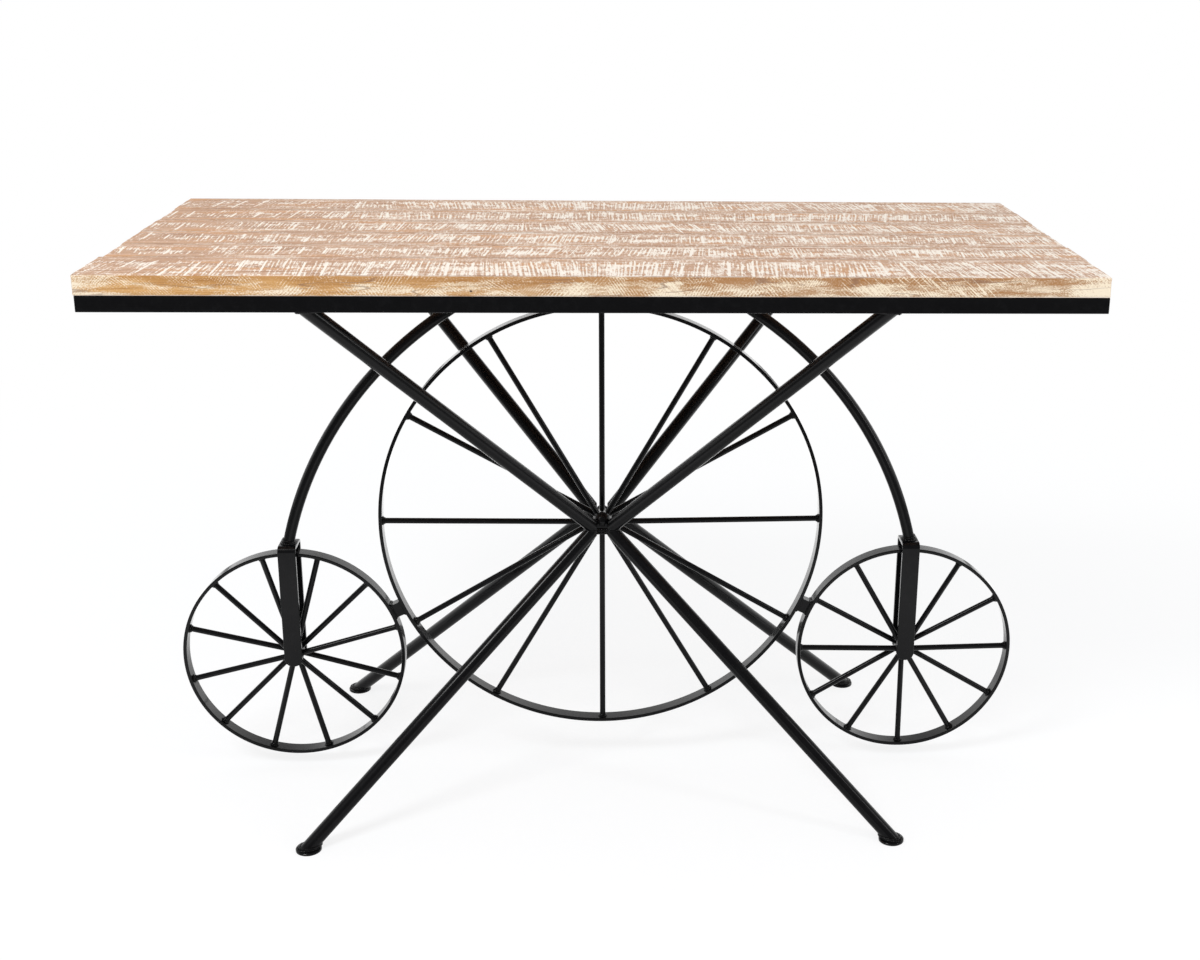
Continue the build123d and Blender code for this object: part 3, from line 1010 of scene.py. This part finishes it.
# %% The tree that builds up a lump
def lump_tree(material):
    labels = ["Radius", "Half Straight", "Middle X", "Middle Y", "Middle Z", "Roughness"]
    tree, _, size = geometry_tree("built_up_weld", labels)
    round_ball = {"Segments": 64, "Rings": 40, "Radius": size["Radius"]}
    ball = add_node(tree, "GeometryNodeMeshUVSphere", round_ball)
    x, y, z = place_in_mm(tree)
    swell = 1 + (cloud(x / 5 + z / 3, y / 5, z / 5, detail=2) - 0.5) * size["Roughness"]
    place = vector(
        tree,
        x * swell * MM + size["Middle X"],
        y * swell * MM + y.math("SIGN") * size["Half Straight"] + size["Middle Y"],
        z * swell * MM + size["Middle Z"],
    )
    shape = add_node(tree, "GeometryNodeSetPosition", {"Geometry": ball, "Position": place})
    return finish_tree(tree, shape, material)


# %% Build up the lumps
small_lump = (12.3 * MM, 3.5 * MM)
notch_offset = Vector((0, -25 * MM, 8.5 * MM))
# Place, middle, radius, and half the straight stretch from front to rear.
lumps = [
    ("big_hub", hub_middle, 13.6 * MM, 5.5 * MM),
    ("notch", hub_middle + notch_offset, 12.3 * MM, 0.0),
    ("left_hub", middle_of("left_wheel_hub"), *small_lump),
    ("right_hub", middle_of("right_wheel_hub"), *small_lump),
]
build_up_weld = lump_tree(black_paint)
for place, middle, radius, half_straight in lumps:
    dress_steel(bake_tree(
        empty_carrier(f"{place}_weld_lump"),
        build_up_weld,
        Radius=radius,
        Half_Straight=half_straight,
        Middle_X=middle.x,
        Middle_Y=middle.y,
        Middle_Z=middle.z,
        Roughness=0.12,
    ))

# %% [markdown]
# Each fork is welded to the small hub inside its straps, and carries the foot of a bow on its top.
# The bow stands nearly upright there and lies much flatter at the rail, so the two seams are ellipses
# of different lengths.

# %% Weld the forks and bows
bow_radius = 552 * MM
bow_tube_radius = 8 * MM
bow_foot_bead = 3.0 * MM
bow_foot_off = 0.8 * MM
upper_bead = 2.0 * MM
upper_bead_rise = 3.5 * MM
bow_top_bead = 2.4 * MM
fork_strap = 5 * MM
fork_bead = 2.4 * MM
fork_bead_off = 0.5 * MM
rearward = Vector((0, 1, 0))
fork_lines, bow_lines = [], []


def bow_directions(foot, top):
    """Directions of a bow at its two ends, from its chord and its radius."""
    chord = top - foot
    turn = math.asin(chord.length / 2 / bow_radius) * math.copysign(1, foot.x)
    ahead = Matrix.Rotation(turn, 3, "Y") @ chord
    behind = Matrix.Rotation(-turn, 3, "Y") @ chord
    return ahead.normalized(), behind.normalized()


for side in ("left", "right"):
    fork_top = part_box(f"{side}_fork")[1]
    foot = cut_middle(f"{side}_bow", fork_top.z)
    top = cut_middle(f"{side}_bow", rail_bottom)
    at_foot, at_top = bow_directions(foot, top)
    fork_lines += [
        ring_weld(foot, at_foot, straight_up, bow_tube_radius + bow_foot_off, bow_foot_bead),
        ring_weld(foot + at_foot * upper_bead_rise, at_foot, at_foot, bow_tube_radius, upper_bead),
    ]
    bow_lines.append(ring_weld(top, at_top, straight_up, bow_tube_radius, bow_top_bead))
    reach = fork_top.y - fork_strap - fork_bead_off
    for depth in (-1, 1):
        inside = middle_of(f"{side}_wheel_hub") + rearward * depth * reach
        fork_lines.append(ring_weld(inside, rearward, rearward, hub_radius(side), fork_bead))

lay_welds("fork_welds", fork_lines)
lay_welds("bow_top_welds", bow_lines)

# %% [markdown]
# A link is a short block between two rims, with a bead round each end. The bead lies on the curve of
# the rim, so its line is bent to the rim's radius.

# %% Weld the links
link_half_height = 10 * MM
link_bead = 2.3 * MM
link_steps = 8


def link_loop(centre, radius, heading, half_height, half_depth):
    """A bead's line round the end of a link, on the rim of the wheel at centre."""
    spread = half_height / radius
    angles = [heading + spread * (2 * i / link_steps - 1) for i in range(link_steps + 1)]
    near = [centre + Vector((radius * math.cos(a), -half_depth, radius * math.sin(a))) for a in angles]
    far = [point + Vector((0, 2 * half_depth, 0)) for point in reversed(near)]
    return near + far


link_lines = []
for side in ("left", "right"):
    low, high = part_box(f"{side}_link")
    away = middle_of(f"{side}_wheel_rim") - hub_middle
    heading = math.atan2(away.z, away.x)
    for wheel, centre, turned in (
        ("big", hub_middle, 0.0),
        (side, middle_of(f"{side}_wheel_rim"), math.pi),
    ):
        half_depth = (high.y - low.y) / 2
        loop = link_loop(centre, rim_radius(wheel), heading + turned, link_half_height, half_depth)
        link_lines.append((loop, link_bead, True))
lay_welds("link_welds", link_lines)

# %% [markdown]
# The rails are welded below and on their sides only: on top the boards have to lie flat. The mitred
# corners of the frame are ground smooth outside and keep their bead inside.

# %% Weld the frame
rail_size = 20 * MM
frame_bead = 1.9 * MM
below_boards = 3 * MM
bead_top = rail_bottom + rail_size - below_boards
inner_face = abs(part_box("front_rail")[1].y)
frame_lines = []


def weld_rail_end(first, second):
    """A bead down one side of a rail's end, under it and up the other. Each side is (x, y)."""
    down = [Vector((*first, bead_top)), Vector((*first, rail_bottom))]
    up = [Vector((*second, rail_bottom)), Vector((*second, bead_top))]
    frame_lines.append((down + up, frame_bead, False))


for side in ("left", "right"):
    low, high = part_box(f"{side}_cross_rail")
    for end in (-inner_face, inner_face):
        weld_rail_end((low.x, end), (high.x, end))
low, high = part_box("centre_rail")
for end in (low.x, high.x):
    weld_rail_end((end, low.y), (end, high.y))
for inner_x in (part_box("left_end_rail")[1].x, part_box("right_end_rail")[0].x):
    for depth in (-1, 1):
        corner = [Vector((inner_x, depth * inner_face, height)) for height in (bead_top, rail_bottom)]
        frame_lines.append((corner, frame_bead, False))
lay_welds("frame_welds", frame_lines)

# %% [markdown]
# ## Forks and links with eased edges
#
# A fork is flat bar bent cold, a link is a short sawn block. The CAD solids have the right shape but
# knife-sharp corners, and no steel part has those. A copy of each solid is cleaned of its loose
# triangles and its edges are rounded a little, which gives each edge its own thin highlight.

# %% Ease the edges of a copy
fork_ease = 0.8 * MM
link_ease = 0.6 * MM
ease_segments = 3
flat_angle = math.radians(0.5)
sharp_angle = math.radians(35)


def eased_copy(name, node, width):
    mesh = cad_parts[node].data.copy()
    mesh.name = name
    with editing(mesh) as edit:
        bmesh.ops.remove_doubles(edit, verts=edit.verts, dist=0.001 * MM)
        bmesh.ops.dissolve_limit(edit, angle_limit=flat_angle, verts=edit.verts, edges=edit.edges)
    mesh.polygons.foreach_set("use_smooth", [True] * len(mesh.polygons))
    piece = add_object(name, mesh)
    bevel = piece.modifiers.new("eased", "BEVEL")
    bevel.width = width
    bevel.segments = ease_segments
    bevel.limit_method = "ANGLE"
    bevel.angle_limit = sharp_angle
    return even_out_shading(piece)


for side in ("left", "right"):
    dress_steel(eased_copy(f"{side}_bent_fork", f"{side}_fork", fork_ease), f"{side}_fork")
    dress_steel(eased_copy(f"{side}_sawn_link", f"{side}_link", link_ease), f"{side}_link")

# %% [markdown]
# ## Screws
#
# The boards are held by zinc-plated screws, driven up through the rails. Only their pan heads show,
# from below. A head is a low dome with a cross recess. One tree makes one screw and sets it on every
# point of its carrier.

# %% Zinc plate
def mix_zinc():
    material, shader, (x, y, z) = new_material("zinc_plate")
    bloom = cloud(x / 1.8, y / 1.8, z / 1.8, detail=2)
    grey = mix_colours(bloom, srgb(176, 178, 182), srgb(204, 205, 206))
    feed_all(shader, {"Base Color": grey, "Roughness": 0.28 + 0.2 * bloom, "Metallic": 1.0})
    return material


# %% The tree that drives screws
def screw_tree(material):
    labels = ["Head Radius", "Head Height", "Shank Radius", "Shank Length", "Recess Width"]
    tree, points, size = geometry_tree("wood_screw", labels)
    round_head = {"Segments": 20, "Rings": 12, "Radius": size["Head Radius"]}
    flatter = vector(tree, 1.0, 1.0, size["Head Height"] / size["Head Radius"])
    ball = add_node(tree, "GeometryNodeMeshUVSphere", round_head)
    dome = add_node(tree, "GeometryNodeTransform", {"Geometry": ball, "Scale": flatter})

    head = add_node(tree, "GeometryNodeMeshBoolean", {0: dome}, operation="DIFFERENCE")
    long, narrow = size["Head Radius"] * 1.1, size["Recess Width"]
    for width, depth in ((long, narrow), (narrow, long)):
        bit = vector(tree, width, depth, size["Head Height"] * 1.6)
        recess = add_node(tree, "GeometryNodeTransform", {
            "Geometry": add_node(tree, "GeometryNodeMeshCube", {"Size": bit}),
            "Translation": vector(tree, z=size["Head Height"] * -1.1),
        })
        feed(head.inputs[1], recess)

    shank = {"Vertices": 12, "Radius": size["Shank Radius"], "Depth": size["Shank Length"]}
    shaft = add_node(tree, "GeometryNodeTransform", {
        "Geometry": add_node(tree, "GeometryNodeMeshCylinder", shank),
        "Translation": vector(tree, z=size["Shank Length"] * 0.5),
    })
    whole = add_node(tree, "GeometryNodeJoinGeometry", {0: head})
    feed(whole.inputs[0], shaft)
    placed = add_node(tree, "GeometryNodeInstanceOnPoints", {"Points": points, "Instance": whole})
    return finish_tree(tree, placed, material)


# %% Drive the screws
head_radius = 4 * MM
drive_screws = screw_tree(mix_zinc())
rows = [middle_of(f"top_board_{number}").y for number in range(1, len(front_reaches) + 1)]
for group in ("end_rail", "cross_rail"):
    low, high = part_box(f"{group}_screws")
    rail_x = high.x - head_radius
    carrier = empty_carrier(f"{group}_wood_screws")
    places = [Vector((x, y, rail_bottom)) for x in (-rail_x, rail_x) for y in rows]
    carrier.data.from_pydata(places, [], [])
    screws = bake_tree(
        carrier,
        drive_screws,
        Head_Radius=head_radius,
        Head_Height=2.6 * MM,
        Shank_Radius=2 * MM,
        Shank_Length=high.z - rail_bottom,
        Recess_Width=0.9 * MM,
    )
    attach(screws, "root")
    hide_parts(f"{group}_screws")
    print(f"{screws.name}: {len(screws.data.polygons)} faces")

# %% [markdown]
# ## Floor, light and background
#
# A pale studio: a white floor that runs into a white background, with two soft lamps. For the
# camera the floor is mostly plain white, and only a share of its real shading is left in, which is
# the object's soft shadow. Further out that share fades to nothing, so no horizon shows. From below
# the floor is clear, so that the underside of the table can be looked at.
#
# Black paint is nearly a mirror at flat angles. In a photographer's studio it shows the white sweep
# below and behind it as thin bright lines, and stays black elsewhere because the room beyond the
# sweep and above it is dark. Reflections here see the same: a sweep near the table and behind it,
# brighter than the white that the camera sees so that thin lines show, and a dim room overhead and
# on the side of the camera.

# %% Two kinds of ray
bpy.context.scene.view_settings.view_transform = "Standard"


def kinds_of_ray(tree):
    """Two Fields: 1 for rays that look straight or through clear things, and 1 for reflections."""
    path = add_node(tree, "ShaderNodeLightPath")
    seen, seen_through, mirrored = [
        Field(path.outputs[f"Is {kind} Ray"]) for kind in ("Camera", "Transmission", "Glossy")
    ]
    straight = seen.math("MAXIMUM", seen_through)
    return straight, mirrored * (1 - straight)


# %% Lay the floor
floor_radius = 7.0
floor_drop = 0.2 * MM
floor_colour = (0.86, 0.88, 0.91, 1.0)
shadow_share = 0.3
near_floor_level = 1.1
sweep_glare = 1.6
# How much darker the painted shadow under the table makes the floor as reflections see it.
shadow_under_table = 0.6
dim_room = 0.15
# Metres from the middle of the table between which the shadow fades, and the sweep ends.
shadow_fades = (0.9, 2.6)
sweep_fades = (1.1, 2.2)


def mix_floor():
    """White to the camera, a pale grey that takes shadows near the table, and clear from below."""
    material = bpy.data.materials.new("studio_floor")
    material.use_nodes = True
    tree = material.node_tree
    tree.nodes.clear()
    x, y, _ = split_vector(add_node(tree, "ShaderNodeTexCoord").outputs["Object"])
    distance = (x * x + y * y).math("SQRT")
    straight, mirrored = kinds_of_ray(tree)
    near = 1 - ramp(distance, *shadow_fades)
    # Painted shadow: reflections see the floor darker under the table, at 0.4 of its level within 0.3 m
    # of the middle and at full level from 1 m out.
    shaded = 1 - ramp(1 - distance, 0.0, 0.7) * shadow_under_table
    fading = 1 - ramp(distance - y * 0.5, *sweep_fades) * (1 - dim_room)
    level = straight * (1 + near * (near_floor_level - 1)) + mirrored * sweep_glare * shaded * fading
    shown = add_node(tree, "ShaderNodeMixShader", {
        0: straight * (1 - near * shadow_share) + mirrored,
        1: add_node(tree, "ShaderNodeBsdfDiffuse", {"Color": floor_colour}),
        2: add_node(tree, "ShaderNodeEmission", {"Strength": level}),
    })
    sided = add_node(tree, "ShaderNodeMixShader", {
        0: add_node(tree, "ShaderNodeNewGeometry").outputs["Backfacing"],
        1: shown,
        2: add_node(tree, "ShaderNodeBsdfTransparent"),
    })
    add_node(tree, "ShaderNodeOutputMaterial", {0: sided})
    return material


def lay_floor():
    mesh = bpy.data.meshes.new("studio_floor")
    with editing(mesh) as edit:
        bmesh.ops.create_circle(edit, cap_ends=True, radius=floor_radius, segments=96)
    mesh.transform(Matrix.Translation((0, 0, -floor_drop)))
    mesh.materials.append(mix_floor())
    add_object("studio_floor", mesh)


lay_floor()
print(f"a floor {2 * floor_radius:.0f} m across, {floor_drop / MM:.1f} mm under the feet")

# %% Light it
sky_level = 0.66
# Parts of a direction between which the room turns dim: upward, and towards the camera.
dim_upward = (0.3, 0.65)
dim_forward = (0.0, 0.6)


def build_sky():
    world = bpy.data.worlds.new("studio")
    world.use_nodes = True
    tree = world.node_tree
    straight, mirrored = kinds_of_ray(tree)
    _, back, up = split_vector(add_node(tree, "ShaderNodeTexCoord").outputs["Generated"])
    dim = ramp(up, *dim_upward).math("MAXIMUM", ramp(0 - back, *dim_forward)) * (1 - dim_room)
    shown = straight + mirrored * sweep_glare * (1 - dim)
    carried = 1 - straight - mirrored
    feed_all(tree.nodes["Background"], {
        "Color": (1.0, 1.0, 1.0, 1.0),
        "Strength": shown + carried * sky_level,
    })
    bpy.context.scene.world = world


def add_lamp(name, place, aim, width, height, power):
    """A rectangular soft lamp that points from place to aim. Power is in watts."""
    data = bpy.data.lights.new(name, "AREA")
    data.shape = "RECTANGLE"
    data.size, data.size_y = width, height
    data.energy = power
    lamp = add_object(name, data)
    place, aim = Vector(place), Vector(aim)
    turn = (aim - place).to_track_quat("-Z", "Y").to_matrix().to_4x4()
    lamp.matrix_world = Matrix.Translation(place) @ turn


build_sky()
add_lamp("key", place=(-1.6, -1.8, 2.9), aim=(0, 0, 0.5), width=0.9, height=0.9, power=48)
add_lamp("right_strip", place=(2.3, -1.2, 1.3), aim=(0, 0, 0.4), width=0.3, height=1.8, power=14)
print(f"sky at {sky_level}, two lamps")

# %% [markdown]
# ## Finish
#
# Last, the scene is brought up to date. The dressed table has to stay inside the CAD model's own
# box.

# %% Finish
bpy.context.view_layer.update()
